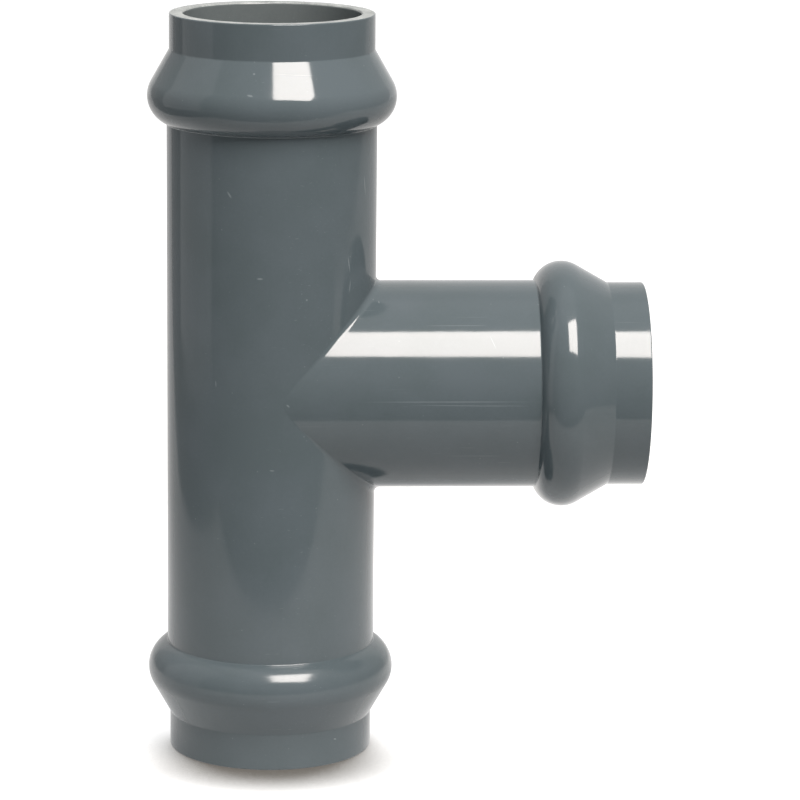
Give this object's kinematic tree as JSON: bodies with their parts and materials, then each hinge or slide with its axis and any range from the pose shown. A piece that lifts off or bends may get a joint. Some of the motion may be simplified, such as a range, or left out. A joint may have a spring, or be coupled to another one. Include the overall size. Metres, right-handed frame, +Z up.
{
  "type": "pvc tee fitting",
  "caption": "Equal 90 degree tee of grey PVC-U for pressure pipe, with push-fit sockets that hold rubber lip seals in round bulges behind their mouths.",
  "frame": {"origin": "middle of the footprint's box, at the bottom mouth's rim; the run's axis stands at X = -45 mm", "axes": "+Z up along the run, from the bottom mouth to the top one; +X along the branch, out of its mouth; +Y away from the viewer"},
  "size_m": [0.179, 0.089, 0.269],
  "materials": {
    "pvc_grey": "glossy moulded, scuffed",
    "pp_natural": "satin moulded",
    "epdm_black": "matte, with a film of lubricant"
  },
  "bodies": {
    "root": {"tee_body": "pvc_grey", "retaining_ring_top": "pp_natural", "retaining_ring_bottom": "pp_natural", "retaining_ring_branch": "pp_natural", "sealing_ring_top": "epdm_black", "sealing_ring_bottom": "epdm_black", "sealing_ring_branch": "epdm_black"}
  },
  "joints": []
}
